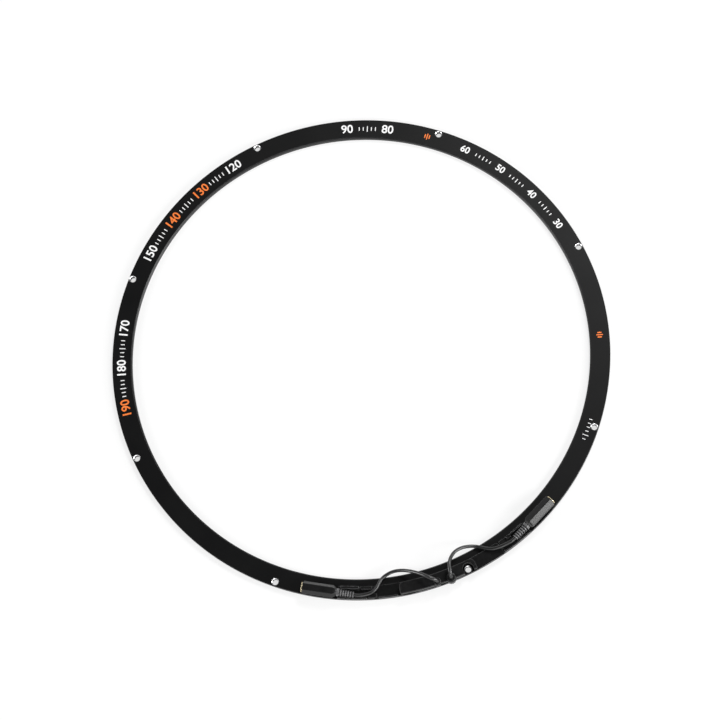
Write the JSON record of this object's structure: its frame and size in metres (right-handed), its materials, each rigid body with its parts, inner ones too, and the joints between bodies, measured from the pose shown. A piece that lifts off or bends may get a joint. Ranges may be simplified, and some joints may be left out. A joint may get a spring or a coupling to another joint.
{
  "type": "dew heater ring",
  "caption": "Flat black heater ring for the front of a large telescope, with countersunk screw holes, a small control module and short leads ending in in-line sockets.",
  "frame": {"origin": "on the ring's axis, at its back face, which lies on the surface below it", "axes": "+Z out of the ring's front face along its axis; the module and the sockets lie towards -Y"},
  "size_m": [0.387, 0.3875, 0.0192],
  "materials": {
    "anodised": "black anodised, fine satin",
    "foil": "etched copper foil",
    "film": "matt black insulating film",
    "moulded": "black moulded plastic, lightly textured",
    "socket": "black moulded plastic, satin",
    "rubber": "black rubber",
    "jacket": "black flexible jacket, satin sheen",
    "plated": "gold plated, bright",
    "nickel": "nickel plated, bright",
    "insulator": "black moulded insulator",
    "board": "green circuit board",
    "copper": "tinned copper wire",
    "bead": "dark potted bead",
    "steel": "plain steel"
  },
  "bodies": {
    "root": {"ring_frame": "anodised", "heater_foil": "foil", "rear_film": "film", "module_base": "moulded", "module_cover": "moulded", "circuit_board": "board", "heater_wire_1": "copper", "heater_wire_2": "copper", "thermistor": "bead", "thermistor_wire": "copper", "base_screw_1": "steel", "base_screw_2": "steel", "lead_clip": "rubber", "power_grommet": "rubber", "power_lead": "jacket", "power_cradle": "moulded", "power_relief": "rubber", "power_body": "socket", "power_sleeve": "plated", "power_insulator": "insulator", "power_contact": "nickel", "sensor_grommet": "rubber", "sensor_lead": "jacket", "sensor_cradle": "moulded", "sensor_relief": "rubber", "sensor_body": "socket", "sensor_sleeve": "nickel", "sensor_insulator": "insulator", "sensor_contact": "nickel"}
  },
  "joints": []
}
